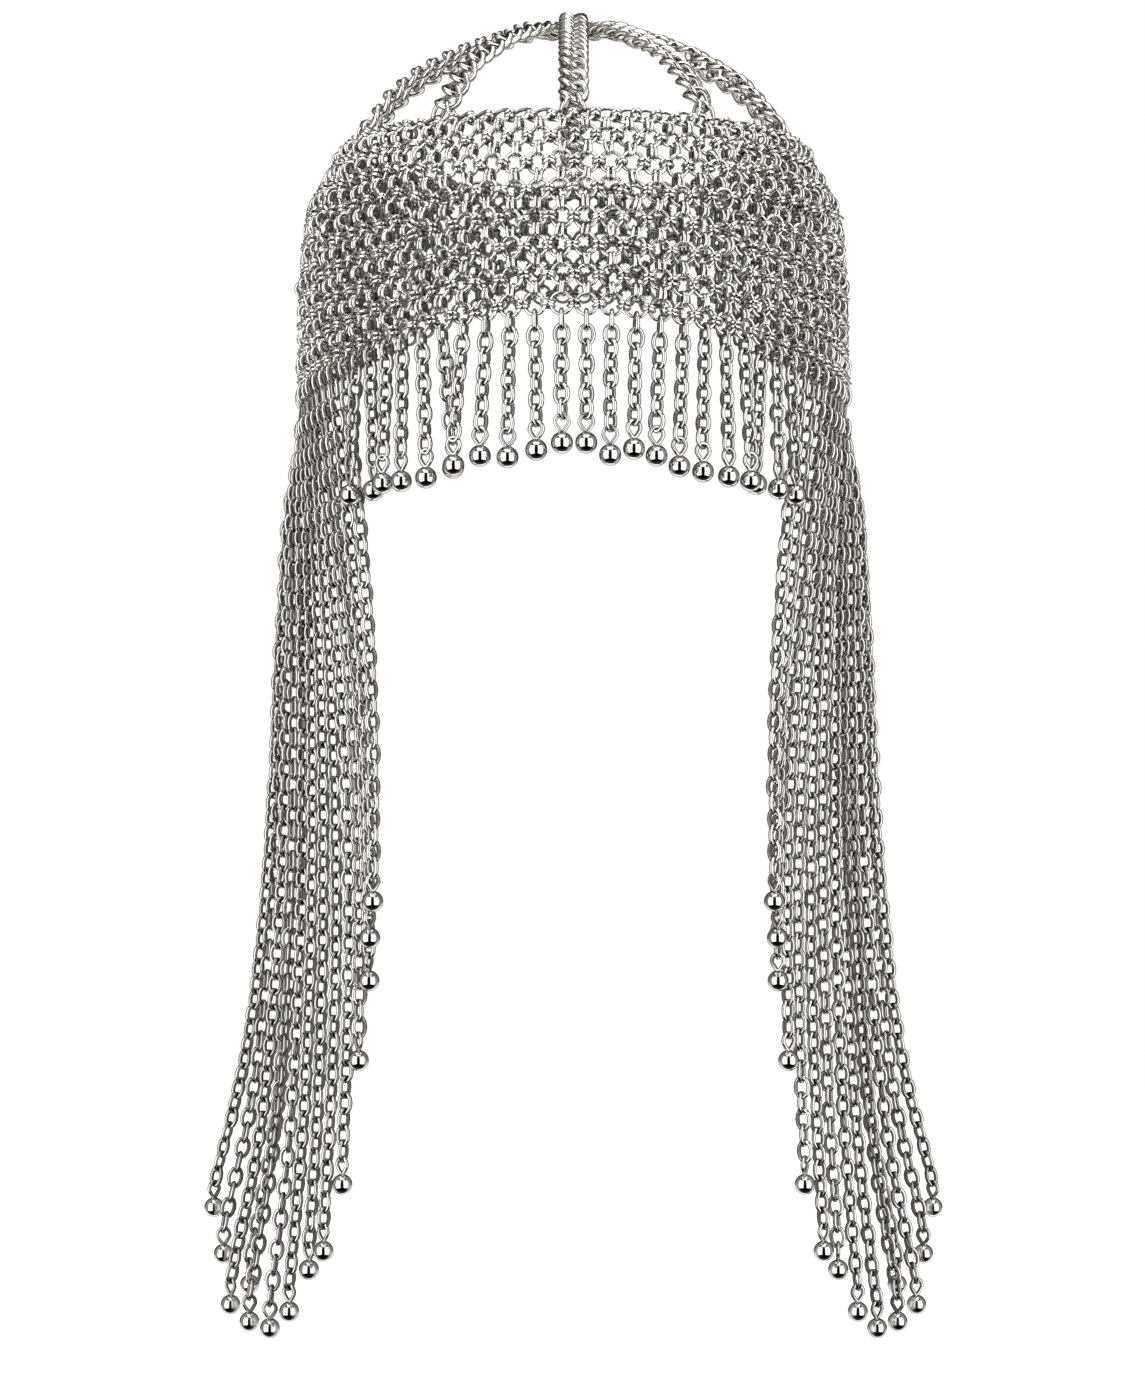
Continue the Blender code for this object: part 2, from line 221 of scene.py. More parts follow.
def math_node(tree, operation, first, second, clamp=False):
    """The result of a sum or product of two sockets or numbers."""
    node = tree.nodes.new("ShaderNodeMath")
    node.operation = operation
    node.use_clamp = clamp
    for socket, value in zip(node.inputs, (first, second)):
        if isinstance(value, (int, float)):
            socket.default_value = value
        else:
            tree.links.new(value, socket)
    return node.outputs[0]


def polish_group():
    """Uneven polish and fine scratches, worked out from the place on the object."""
    group, given, made = new_group(
        "hand_polish",
        [("Vector", "NodeSocketVector", (0, 0, 0)), ("Roughness", "NodeSocketFloat", 0.15),
         ("Unevenness", "NodeSocketFloat", 0.05), ("Scratch Scale", "NodeSocketFloat", 3000.0),
         ("Unpolished", "NodeSocketFloat", 0.0)],
        [("Roughness", "NodeSocketFloat"), ("Height", "NodeSocketFloat")],
    )
    patches = group.nodes.new("ShaderNodeTexNoise")
    patches.inputs["Scale"].default_value = 260
    patches.inputs["Detail"].default_value = 3
    scratches = group.nodes.new("ShaderNodeTexNoise")
    scratches.inputs["Detail"].default_value = 4
    scratches.inputs["Distortion"].default_value = 1.5
    group.links.new(given.outputs["Vector"], patches.inputs["Vector"])
    group.links.new(given.outputs["Vector"], scratches.inputs["Vector"])
    group.links.new(given.outputs["Scratch Scale"], scratches.inputs["Scale"])
    centred = math_node(group, "SUBTRACT", patches.outputs["Fac"], 0.5)
    spread = math_node(group, "MULTIPLY", centred, given.outputs["Unevenness"])
    # The noise lies within half a unit of its middle, so doubled it fills the unevenness
    doubled = math_node(group, "MULTIPLY", spread, 2.0)
    dull = math_node(group, "MULTIPLY", given.outputs["Unpolished"], DULL_ROUGHNESS)
    base = math_node(group, "ADD", given.outputs["Roughness"], dull)
    rough = math_node(group, "ADD", base, doubled, clamp=True)
    group.links.new(rough, made.inputs["Roughness"])
    group.links.new(scratches.outputs["Fac"], made.inputs["Height"])
    return group


def plate_group():
    """The plate's colour, darkened by painted shade as far as each point's mask says, and a little
    unlike in each ring.
    """
    group, given, made = new_group(
        "plate_colour",
        [("Plate", "NodeSocketColor", (0.8, 0.78, 0.76, 1)),
         ("Shade Colour", "NodeSocketColor", (0.065, 0.055, 0.047, 1)),
         ("Inside", "NodeSocketFloat", 0.0), ("Depth", "NodeSocketFloat", 0.5),
         ("Tone", "NodeSocketFloat", 0.0), ("Tone Spread", "NodeSocketFloat", 0.1)],
        [("Color", "NodeSocketColor")],
    )
    # Painted shade: the plate is mixed towards the dark brown shade colour as far as the mask says
    dark = math_node(group, "MULTIPLY", given.outputs["Inside"], given.outputs["Depth"], True)
    mixed = group.nodes.new("ShaderNodeMix")
    mixed.data_type = "RGBA"
    # A Mix node has several sockets of one name: 6, 7 and the output 2 are its colours
    group.links.new(dark, mixed.inputs[0])
    group.links.new(given.outputs["Plate"], mixed.inputs[6])
    group.links.new(given.outputs["Shade Colour"], mixed.inputs[7])
    toned = math_node(group, "MULTIPLY", given.outputs["Tone"], given.outputs["Tone Spread"])
    level = math_node(group, "ADD", toned, 1.0)
    scaled = group.nodes.new("ShaderNodeVectorMath")
    scaled.operation = "SCALE"
    group.links.new(mixed.outputs[2], scaled.inputs[0])
    group.links.new(level, scaled.inputs["Scale"])
    group.links.new(scaled.outputs[0], made.inputs["Color"])
    return group


POLISH = polish_group()
PLATE = plate_group()
print("shared groups:", POLISH.name, PLATE.name)

# %% Metals
EDGE_TINT = (0.30, 0.27, 0.25, 1)
SCRATCH_DEPTH = 0.05 * MM


def silver(name, plate, roughness, unevenness, shade_depth, tone_spread, bump):
    """A metal with its own plate colour and finish, reading each point's painted shade and ring
    tone.
    """
    material = bpy.data.materials.new(name)
    material.use_nodes = True
    tree = material.node_tree
    shader = tree.nodes["Principled BSDF"]
    shader.inputs["Metallic"].default_value = 1.0
    shader.inputs["Specular Tint"].default_value = EDGE_TINT
    place = tree.nodes.new("ShaderNodeTexCoord")
    # This attribute holds each point's painted shade, which also adds roughness
    inside = tree.nodes.new("ShaderNodeAttribute")
    inside.attribute_name = "shade_and_roughening"
    tone = tree.nodes.new("ShaderNodeAttribute")
    tone.attribute_name = "ring_tone"
    polish = tree.nodes.new("ShaderNodeGroup")
    polish.node_tree = POLISH
    polish.inputs["Roughness"].default_value = roughness
    polish.inputs["Unevenness"].default_value = unevenness
    colour = tree.nodes.new("ShaderNodeGroup")
    colour.node_tree = PLATE
    colour.inputs["Plate"].default_value = (*plate, 1)
    colour.inputs["Depth"].default_value = shade_depth
    colour.inputs["Tone Spread"].default_value = tone_spread
    relief = tree.nodes.new("ShaderNodeBump")
    relief.inputs["Strength"].default_value = bump
    relief.inputs["Distance"].default_value = SCRATCH_DEPTH
    tree.links.new(place.outputs["Object"], polish.inputs["Vector"])
    tree.links.new(inside.outputs["Fac"], polish.inputs["Unpolished"])
    tree.links.new(inside.outputs["Fac"], colour.inputs["Inside"])
    tree.links.new(tone.outputs["Fac"], colour.inputs["Tone"])
    tree.links.new(polish.outputs["Roughness"], shader.inputs["Roughness"])
    tree.links.new(polish.outputs["Height"], relief.inputs["Height"])
    tree.links.new(relief.outputs["Normal"], shader.inputs["Normal"])
    tree.links.new(colour.outputs["Color"], shader.inputs["Base Color"])
    return material


# The shade depth sets how dark each metal's painted shade gets
RING_METAL = silver("ring_metal", plate=(0.84, 0.815, 0.785), roughness=0.10, unevenness=0.05,
                    shade_depth=0.97, tone_spread=0.10, bump=0.15)
CURB_METAL = silver("curb_metal", plate=(0.77, 0.745, 0.715), roughness=0.10, unevenness=0.05,
                    shade_depth=0.95, tone_spread=0.08, bump=0.15)
CHAIN_METAL = silver("chain_metal", plate=(0.67, 0.648, 0.62), roughness=0.10, unevenness=0.05,
                     shade_depth=0.96, tone_spread=0.10, bump=0.15)
BALL_METAL = silver("ball_metal", plate=(0.62, 0.60, 0.58), roughness=0.05, unevenness=0.02,
                    shade_depth=0.00, tone_spread=0.04, bump=0.03)
print("metals:", [m.name for m in (RING_METAL, CURB_METAL, CHAIN_METAL, BALL_METAL)])

# %% [markdown]
# ## One wire part of each kind
# A jump ring is a round wire bent in a circle. It could be a torus primitive, but spinning a small
# circle round an axis shows what it is, and gives control of the number of sides, which matters
# when the ring is repeated thousands of times: five to seven sides to the wire and 12 to 20 steps
# round are enough. A chain link is the same ring drawn out to an oval, and a curb link is that
# link with its two ends twisted against each other.

# %% Wire parts
# How steeply the painted shade on the inner side falls from the innermost line of the wire to its
# middle
INNER_SHADE_POWER = 1.2


def wire_link(wire, width, length=None, twist=0.0, neck=0.0, steps=14, sides=6):
    """A closed link of round wire in the XY plane, its length along Y. Sizes are outside ones.

    A neck above zero draws the sides together below, as in an eye pinched onto its ball.
    """
    length = length or width
    radius = (width - wire) / 2
    bm = bmesh.new()
    bmesh.ops.create_circle(bm, segments=sides, radius=wire / 2)
    bmesh.ops.rotate(bm, verts=bm.verts, cent=(0, 0, 0),
                     matrix=Matrix.Rotation(math.radians(90), 3, "X"))
    bmesh.ops.translate(bm, verts=bm.verts, vec=(radius, 0, 0))
    bmesh.ops.spin(bm, geom=bm.edges[:], cent=(0, 0, 0), axis=(0, 0, 1), dvec=(0, 0, 0),
                   angle=math.tau, steps=steps, use_merge=True, use_duplicate=False)
    bmesh.ops.remove_doubles(bm, verts=bm.verts, dist=wire / 100)
    bmesh.ops.recalc_face_normals(bm, faces=bm.faces)
    points = np.array([v.co for v in bm.verts], float).reshape(-1, 3)
    # The inner side of each wire gets painted shade, strongest on its innermost line
    inwards = (radius - np.hypot(points[:, 0], points[:, 1])) / (wire / 2)
    inside = np.clip(inwards, 0, 1) ** INNER_SHADE_POWER
    pull = (length - width) / 2
    for v in bm.verts:
        reach = math.hypot(v.co.x, v.co.y)
        across, up = v.co.x / reach, v.co.y / reach
        v.co.x -= radius * across * neck * max(-up, 0)
        v.co.y += pull * up
    if twist:
        for v in bm.verts:
            turn = Matrix.Rotation(math.radians(twist) * v.co.y / (length / 2), 3, "Y")
            v.co = turn @ v.co
    return template(bm, inside)


def template(bm, inside=None):
    """Points, normals, faces and inner-side painted shade of a small part, and its bmesh is freed.
    """
    bm.verts.index_update()
    bm.normal_update()
    points = np.array([v.co for v in bm.verts], float).reshape(-1, 3)
    normals = np.array([v.normal for v in bm.verts], float).reshape(-1, 3)
    faces = [[v.index for v in face.verts] for face in bm.faces]
    bm.free()
    if inside is None:
        inside = np.zeros(len(points))
    return {"points": points, "normals": normals, "faces": faces, "inside": inside}


def ball(diameter, around=24, down=14):
    bm = bmesh.new()
    bmesh.ops.create_uvsphere(bm, u_segments=around, v_segments=down, radius=diameter / 2)
    return template(bm)


print("a plain link has", len(wire_link(MM, 5 * MM)["faces"]), "faces")

# %% [markdown]
# ## Laying out copies
# Thousands of separate objects would be slow, so all copies of a kind go into one mesh. Each copy
# is given by a place and three directions, and numpy moves the part's points for all copies at
# once. The directions are kept right-handed, so no copy is turned inside out.

# %% Directions of the copies
DOWN = np.array([0, 0, -1])
rng = np.random.default_rng(11)


def unit(vectors):
    vectors = np.asarray(vectors, float)
    return vectors / np.linalg.norm(vectors, axis=-1, keepdims=True)


def axes(x, y):
    """Right-handed directions from a width direction and a length direction, for each copy."""
    y = unit(y)
    x = unit(x - y * np.sum(x * y, axis=-1, keepdims=True))
    return np.stack([x, y, np.cross(x, y)], axis=-1)


def turned(frames, axis, degrees):
    """The same directions, each turned about its own X, Y or Z by its own angle."""
    turn = np.radians(np.broadcast_to(degrees, len(frames)))
    cos, sin = np.cos(turn), np.sin(turn)
    first, second = {"X": (1, 2), "Y": (2, 0), "Z": (0, 1)}[axis]
    out = frames.copy()
    out[:, :, first] = frames[:, :, first] * cos[:, None] + frames[:, :, second] * sin[:, None]
    out[:, :, second] = frames[:, :, second] * cos[:, None] - frames[:, :, first] * sin[:, None]
    return out


print("an upright link's directions:", axes(np.eye(3)[:1], np.eye(3)[2:]).tolist())

# %% [markdown]
# ## Painted shade
# The band and the crown chains lie on a dome, level below its middle. Shade is painted into the
# colour of a point that faces inwards, one that lies deeper than its ring's middle, and the inner
# side of each wire, and the same share makes them rougher. Round the back of the band the painted
# shade on the side that faces inwards is eased, so it shows lighter. Each of these fades in
# between two values.

# %% Painted shade of each point
BAND_WIDTH = 158.6 * MM
BAND_DEPTH = 194 * MM
DOME_SIZE = np.array([BAND_WIDTH, BAND_DEPTH, 150 * MM])
DOME_MIDDLE = -70 * MM
# Painted shade sets in between these depths below a ring's middle and these facings, and is eased
# round the back
SHADED_DEPTHS = (0.0 * MM, -2.2 * MM)
SHADED_FACINGS = (0.00, -0.50)
EASED_SHADE_SIDES = (-0.15, -0.50)
EASED_SHADE_PLACES = (-25 * MM, -75 * MM)
EASED_SHADE_SHARE = 0.25
SHADE_STEEPNESS = 1.7


def away_from_dome(places):
    """Outward directions from the dome."""
    rise = np.maximum(places[:, 2] - DOME_MIDDLE, 0)
    return unit(np.column_stack([places[:, 0], places[:, 1], rise]) / DOME_SIZE ** 2)


def falling(values, start, end):
    """0 at the first value and above it, 1 at the second one and below it."""
    return np.clip((start - values) / (start - end), 0, 1)


def shade_and_roughening(part, places, frames):
    """Painted shade of each point, also used for roughness: 0 on what stands out most, 1 on the
    inner side and behind.
    """
    outward = away_from_dome(places)
    normals = np.einsum("nij,vj->nvi", frames, part["normals"])
    facing = np.einsum("nvi,ni->nv", normals, outward)
    height = np.einsum("nij,vj,ni->nv", frames, part["points"], outward)
    behind = falling(facing, *SHADED_FACINGS)
    deep = falling(height, *SHADED_DEPTHS)
    # Round the back the painted shade on the side facing inwards is eased, so it shows lighter
    eased_shade = falling(facing, *EASED_SHADE_SIDES) * EASED_SHADE_SHARE
    eased_shade = eased_shade * falling(-places[:, 1], *EASED_SHADE_PLACES)[:, None]
    # The painted shade of a point joins its flank, depth and inner-side shares
    total_shade = 1 - (1 - behind) * (1 - deep) * (1 - part["inside"][None])
    return total_shade ** SHADE_STEEPNESS * (1 - eased_shade)


# %% Copies in one mesh
TRIANGLES = {}


def joined_piece(name, parts, materials, stands_for=(), shade_and_rough_scale=1.0):
    """One mesh from parts, each a (template, places, directions, material number).

    A scale below one makes the painted shade, and the roughness it adds, weaker in every link.
    """
    points, faces, inside, tones, finishes = [], [], [], [], []
    start = 0
    for part, places, frames, finish in parts:
        placed = np.einsum("nij,vj->nvi", frames, part["points"]) + places[:, None]
        count = len(part["points"])
        points.append(placed.reshape(-1, 3))
        # Each point's painted shade, scaled, which the metals also turn into roughness
        inside.append(shade_and_roughening(part, places, frames).reshape(-1) * shade_and_rough_scale)
        tones.append(np.repeat(rng.uniform(-1, 1, len(places)), count))
        for copy in range(len(places)):
            shift = start + copy * count
            faces.extend([[i + shift for i in face] for face in part["faces"]])
        finishes.extend([finish] * (len(part["faces"]) * len(places)))
        start += count * len(places)
    mesh = bpy.data.meshes.new(name)
    mesh.from_pydata(np.concatenate(points).tolist(), [], faces)
    for label, values in (("shade_and_roughening", inside), ("ring_tone", tones)):
        attribute = mesh.attributes.new(label, "FLOAT", "POINT")
        attribute.data.foreach_set("value", np.concatenate(values).astype(np.float32))
    for material in materials:
        mesh.materials.append(material)
    mesh.polygons.foreach_set("material_index", finishes)
    mesh.shade_smooth()
    piece = bpy.data.objects.new(name, mesh)
    bpy.context.scene.collection.objects.link(piece)
    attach(piece, "root")
    if stands_for:
        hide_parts(*stands_for)
    TRIANGLES[name] = sum(len(face) - 2 for face in faces)


# %% [markdown]
# ## The band's surface
# The mesh hangs round an oval that is longer from front to back than it is wide. It leans in
# towards its top edge and hangs lowest at the sides. A few sizes and two short rows of shares say
# all of that, the same ones that the construction model uses. A point on the surface is given by
# its ring column, counted round from the middle of the front, and by how far it lies below the
# top edge.

# %% Surface of the band
BAND_HEIGHT_FRONT = 61 * MM
BAND_HEIGHT_SIDE = 75.5 * MM
BAND_HEIGHT_BACK = 38.5 * MM
RING_PITCH = 6.9 * MM
RINGS_PER_CELL = 2
CROWN_RISE = 32.3 * MM
GAP = 0.3 * MM
ROUND_STEPS = 720


def smooth_line(*rows):
    """A function that reads a smooth line through rows of (x, y)."""
    xs, ys = np.array(rows, float).T
    slopes = np.gradient(ys, xs)

    def read(x):
        i = np.clip(np.searchsorted(xs, x, side="right") - 1, 0, len(xs) - 2)
        span = xs[i + 1] - xs[i]
        f = (x - xs[i]) / span
        start = ys[i] * (1 + 2 * f) * (1 - f) ** 2 + slopes[i] * span * f * (1 - f) ** 2
        end = ys[i + 1] * f ** 2 * (3 - 2 * f) - slopes[i + 1] * span * f ** 2 * (1 - f)
        return start + end

    return read


wide_share = smooth_line((0, 0.826), (0.16, 0.913), (0.31, 0.984), (0.47, 1), (1, 1.018))
deep_share = smooth_line((0, 0.876), (0.16, 0.938), (0.31, 0.980), (0.47, 1), (1, 1))

round_angles = np.linspace(0, math.tau, ROUND_STEPS + 1)
speed = np.hypot(BAND_WIDTH / 2 * np.cos(round_angles), BAND_DEPTH / 2 * np.sin(round_angles))
travel = np.concatenate(([0], np.cumsum((speed[1:] + speed[:-1]) / 2 * np.diff(round_angles))))
COLUMNS = round(travel[-1] / (RING_PITCH * RINGS_PER_CELL) / 2) * 2 * RINGS_PER_CELL
column_travel = travel / travel[-1] * COLUMNS


def column_angle(column):
    return np.interp(np.mod(column, COLUMNS), column_travel, round_angles)


def band_height(column):
    """How far the band hangs down: least in front and at the back, most at the sides."""
    angle = column_angle(column)
    middle = np.where(np.cos(angle) > 0, BAND_HEIGHT_FRONT, BAND_HEIGHT_BACK)
    return middle + (BAND_HEIGHT_SIDE - middle) * np.sin(angle) ** 2


def band_point(column, down):
    """A point on the band, by its ring column and how far it lies below the top edge."""
    column, down = np.broadcast_arrays(np.asarray(column, float), np.asarray(down, float))
    angle = column_angle(column)
    share = np.clip(down / BAND_HEIGHT_SIDE, 0, 1)
    x = BAND_WIDTH / 2 * wide_share(share) * np.sin(angle)
    y = -BAND_DEPTH / 2 * deep_share(share) * np.cos(angle)
    return np.stack([x, y, -CROWN_RISE - down], axis=-1)


def band_directions(column, down):
    """Along the row, down the surface and outwards, at a place on the band."""
    along = unit(band_point(column + 0.3, down) - band_point(column - 0.3, down))
    fall = unit(band_point(column, down + MM / 2) - band_point(column, down - MM / 2))
    out = unit(np.cross(fall, along))
    return along, np.cross(along, out), out


print("ring columns:", COLUMNS)

# %% [markdown]
# ## Ring mesh
# Each flat ring of the mesh is tied to its four neighbours by pairs of rings that stand across
# it. Rows are about 8 mm apart, and the rings of a row are a little wider than their spacing, so
# every ring is turned by the same small angle and lies with one side over the next. Rings could
# also lean in turn to the left and right, but then a pattern of double columns shows. Where the
# band gets deeper towards the side, a column has one more ring than its neighbour: as in
# knitting, two rings of one column then share a neighbour in the other. The rings of the top row
# lean further inwards than the surface does, and those of the next rows hang more upright. A
# slight tilt and shift of every ring, from a seeded random generator, gives the restless look of
# real mesh, more of it at the sides where the picture shows the rings crowding.

# %% Flat rings of the mesh
RING_WIRE = 1.10 * MM
RING_WIDTH = 7.1 * MM
TIE_WIRE = 1.08 * MM
TIE_WIDTH = 4.4 * MM
TIE_SPACING = 1.25 * MM
OVERLAP_TURN = 13
ROW_PITCH = 8.1 * MM
EDGE_MARGIN = 3.5 * MM
TOP_MARGIN = 4.5 * MM
SURFACE_STEPS = 80
# From 0, along the band's surface, to 1, hanging straight down, for each row from the top
UPRIGHT_FROM_TOP = (-1.1, -0.1, 0.4, 0.65)
RING_SHIFT = 0.28 * MM
RING_TILT = 7
RING_SWING = 3
SIDE_EXTRA_TILT = 1.2
EDGE_LOOSENESS = 0.35

flat_ring = wire_link(RING_WIRE, RING_WIDTH, steps=16)
tie_ring = wire_link(TIE_WIRE, TIE_WIDTH, steps=12, sides=5)


def row_places(column):
    """How far below the top edge each ring of a column lies, evenly spaced along the surface."""
    downs = np.linspace(0, float(band_height(column)), SURFACE_STEPS)
    steps = np.linalg.norm(np.diff(band_point(column, downs), axis=0), axis=1)
    run = np.concatenate(([0], np.cumsum(steps)))
    rows = round((run[-1] - 2 * EDGE_MARGIN) / ROW_PITCH) + 1
    places = np.linspace(EDGE_MARGIN, run[-1] - EDGE_MARGIN, rows)
    places[0] = TOP_MARGIN
    return np.interp(places, run, downs)


column_rows = [row_places(k + 0.5) for k in range(COLUMNS)]
ring_index = {}
ring_columns, ring_downs = [], []
for k, downs in enumerate(column_rows):
    for i, down in enumerate(downs):
        ring_index[k, i] = len(ring_columns)
        ring_columns.append(k + 0.5)
        ring_downs.append(down)
ring_columns = np.array(ring_columns)
ring_downs = np.array(ring_downs)
along, fall, out = band_directions(ring_columns, ring_downs)
sideness = np.abs(np.sin(column_angle(ring_columns)))
edge = np.array([i in (0, len(column_rows[k]) - 1) for k, i in ring_index])
loose = np.where(edge, EDGE_LOOSENESS, 1.0)
count = len(ring_columns)
ring_places = band_point(ring_columns, ring_downs)
ring_places += along * (rng.normal(0, RING_SHIFT, count) * loose)[:, None]
ring_places += fall * (rng.normal(0, RING_SHIFT, count) * loose)[:, None]
last_row = len(UPRIGHT_FROM_TOP) - 1
upright = np.array([UPRIGHT_FROM_TOP[min(i, last_row)] for k, i in ring_index])[:, None]
hang = unit(fall * (1 - upright) + DOWN * upright)
ring_frames = axes(along, hang)
tilt = rng.normal(0, RING_TILT, count) * loose * (1 + SIDE_EXTRA_TILT * sideness)
ring_frames = turned(ring_frames, "X", tilt)
swing = rng.normal(0, RING_SWING, count) * (1 + sideness)
ring_frames = turned(ring_frames, "Y", OVERLAP_TURN + swing)
joined_piece("mesh_flat_rings", [(flat_ring, ring_places, ring_frames, 0)], [RING_METAL],
             ["net_band"])
print("flat rings:", count, "rows:", sorted({len(d) for d in column_rows}))

# %% Neighbouring rings
def neighbours_across():
    """Pairs of rings in neighbouring columns; the fuller column decides where rows differ."""
    pairs = []
    for k in range(COLUMNS):
        k2 = (k + 1) % COLUMNS
        a, b = column_rows[k], column_rows[k2]
        if len(a) >= len(b):
            pairs += [(ring_index[k, i], ring_index[k2, int(np.argmin(abs(b - down)))])
                      for i, down in enumerate(a)]
        else:
            pairs += [(ring_index[k, int(np.argmin(abs(a - down)))], ring_index[k2, i])
                      for i, down in enumerate(b)]
    return np.array(pairs)


def neighbours_down():
    return np.array([(ring_index[k, i], ring_index[k, i + 1])
                     for k, downs in enumerate(column_rows) for i in range(len(downs) - 1)])


across = neighbours_across()
downwards = neighbours_down()
print("pairs along the rows:", len(across), "and down the columns:", len(downwards))

# %% Ties between neighbouring rings
TIE_STRETCH = (0.78, 1.2)
TIE_TILTS = {"X": 6, "Y": 8, "Z": 12}
TIE_SHIFT = 0.15 * MM


def ties(pairs, direction_held):
    """Two rings standing across the mesh for each pair, long enough to hold both wires."""
    first, second = pairs.T
    half = (RING_WIDTH - RING_WIRE) / 2
    held_first = ring_places[first] + ring_frames[first][:, :, direction_held] * half
    held_second = ring_places[second] - ring_frames[second][:, :, direction_held] * half
    reach = ring_places[second] - ring_places[first]
    outward = unit(out[first] + out[second])
    apart = np.sum((held_second - held_first) * unit(reach), axis=1)
    stretch = np.clip((apart + RING_WIRE + 2 * TIE_WIRE) / TIE_WIDTH, *TIE_STRETCH)
    places, frames = [], []
    for side in (-1, 1):
        direction = axes(outward, reach)
        for axis, spread in TIE_TILTS.items():
            direction = turned(direction, axis, rng.normal(0, spread, len(pairs)))
        offset = direction[:, :, 2] * (side * TIE_SPACING / 2)
        middle = (held_first + held_second) / 2
        middle = middle + outward * rng.normal(0, TIE_SHIFT, len(pairs))[:, None]
        direction[:, :, 1] *= stretch[:, None]
        places.append(middle + offset)
        frames.append(direction)
    return np.concatenate(places), np.concatenate(frames)


for name, pairs, held in (("mesh_ties_across", across, 0), ("mesh_ties_down", downwards, 1)):
    tie_places, tie_frames = ties(pairs, held)
    joined_piece(name, [(tie_ring, tie_places, tie_frames, 0)], [RING_METAL])
    print(name, "rings:", len(tie_places), "triangles:", TRIANGLES[name])

# %% [markdown]
# ## Crown chains
# Over the crown run wide curb chains of heavy wire. Each curb link is an oval ring twisted by
# nearly a quarter turn from end to end, so that equal links pass through each other and still
# lie flat: seen from above, both halves of every link slant the same way. The chains follow the
# same line as the solids, a rounded fall from the middle of the crown to the band. Only the
# centre chain crosses 0.8 mm lower than its solid, as in the picture. The links of the others get
# smaller where they crowd at the plain ring that joins them, each of those is held by a small
# hook, and two small rings tie each end to the mesh. The links get about a third of the painted
# shade and of the roughness it adds, so they look lighter than the mesh.

# %% Lines of the crown chains
CROWN_THICKNESS = 3.4 * MM
CROWN_TIP_THICKNESS = 1.8 * MM
CROWN_CHAIN_TAPER = 16 * MM
CENTER_RISE = 1.6 * MM
CROWN_INNER_COLUMN = 7
CROWN_OUTER_COLUMN = 15
CROWN_SIDE_COLUMN = 22
JOINING_RING_RADIUS = 6.4 * MM
JOINING_RING_WIRE = 2.4 * MM
SIDE_CHAIN_START = JOINING_RING_RADIUS + JOINING_RING_WIRE / 2 + GAP
CHAIN_STOPS_ABOVE = 1.0 * MM
CELL_BAR = 5.4 * MM
LINE_STEPS = 160
READ_AROUND = 0.4 * MM
crown_fall = smooth_line((0, 0), (0.23, 0.047), (0.44, 0.18), (0.63, 0.353), (0.83, 0.617), (1, 1))
center_lift = smooth_line((0, 1), (0.2, 1), (0.29, 0.6), (0.39, 0.15), (0.48, 0), (1, 0))


def top_edge(column):
    """Point on the straight-sided top edge, with the directions along, up and outwards."""
    def edge_point(c):
        first = math.floor(c / RINGS_PER_CELL) * RINGS_PER_CELL
        share = (c - first) / RINGS_PER_CELL
        ends = band_point(np.array([first, first + RINGS_PER_CELL]), 0.0)
        return ends[0] * (1 - share) + ends[1] * share

    point = edge_point(column)
    along = unit(edge_point(column + 0.5) - edge_point(column - 0.5))
    up = unit(band_point(column, 0.0) - band_point(column, CELL_BAR))
    outward = np.cross(along, up)
    return point, along, up, outward * math.copysign(1, outward[:2] @ point[:2])


def widening(run):
    """How far a side chain has grown from its tip to its full size, at a distance out."""
    return np.clip((run - SIDE_CHAIN_START) / CROWN_CHAIN_TAPER, 0, 1)


def crown_line(column, lift):
    """Points and side directions from the middle of the crown to just above the band."""
    point, along, up, outward = top_edge(column)
    anchor = point + up * GAP
    shares = np.linspace(0, 1, LINE_STEPS)
    grown = widening(shares * np.linalg.norm(anchor[:2])) if lift == 0 else 1
    half = (CROWN_TIP_THICKNESS + (CROWN_THICKNESS - CROWN_TIP_THICKNESS) * grown) / 2
    height = half + (anchor[2] - half) * crown_fall(shares) + lift * center_lift(shares)
    points = np.column_stack([anchor[0] * shares, anchor[1] * shares, height])
    radial = unit(np.array([anchor[0], anchor[1], 0]))
    across = np.array([-radial[1], radial[0], 0])
    if across @ along < 0:
        along = -along
    # The links turn to lie along the band's edge only near it
    blend = shares[:, None] ** 3
    sides = unit(across * (1 - blend) + along * blend)
    kept = np.linalg.norm(points - points[-1], axis=1) > CHAIN_STOPS_ABOVE
    return points[kept], sides[kept]


def spaced(points, values, places):
    """Points, values and directions read at given distances along a line of points."""
    run = np.concatenate(([0], np.cumsum(np.linalg.norm(np.diff(points, axis=0), axis=1))))
    read = [np.array([np.interp(places, run, column) for column in table.T]).T
            for table in (points, values)]
    ahead = np.array([np.interp(places + READ_AROUND, run, column) for column in points.T]).T
    behind = np.array([np.interp(places - READ_AROUND, run, column) for column in points.T]).T
    return read[0], read[1], unit(ahead - behind)


def length_of(points):
    return float(np.linalg.norm(np.diff(points, axis=0), axis=1).sum())


print("length of the centre chain's front half:", length_of(crown_line(0, CENTER_RISE)[0]))

# %% Curb links
CURB_WIRE = 1.9 * MM
CURB_WIDTH = 8.9 * MM
CURB_PITCH = 6.0 * MM
CENTER_PITCH = 5.7 * MM
CURB_LENGTH = CURB_PITCH + 2 * CURB_WIRE
CURB_TWIST = -44
CURB_TILT = 4
CURB_SWING = 2
TIP_SHARE = 0.5

curb_link = wire_link(CURB_WIRE, CURB_WIDTH, CURB_LENGTH, twist=CURB_TWIST, steps=20, sides=7)


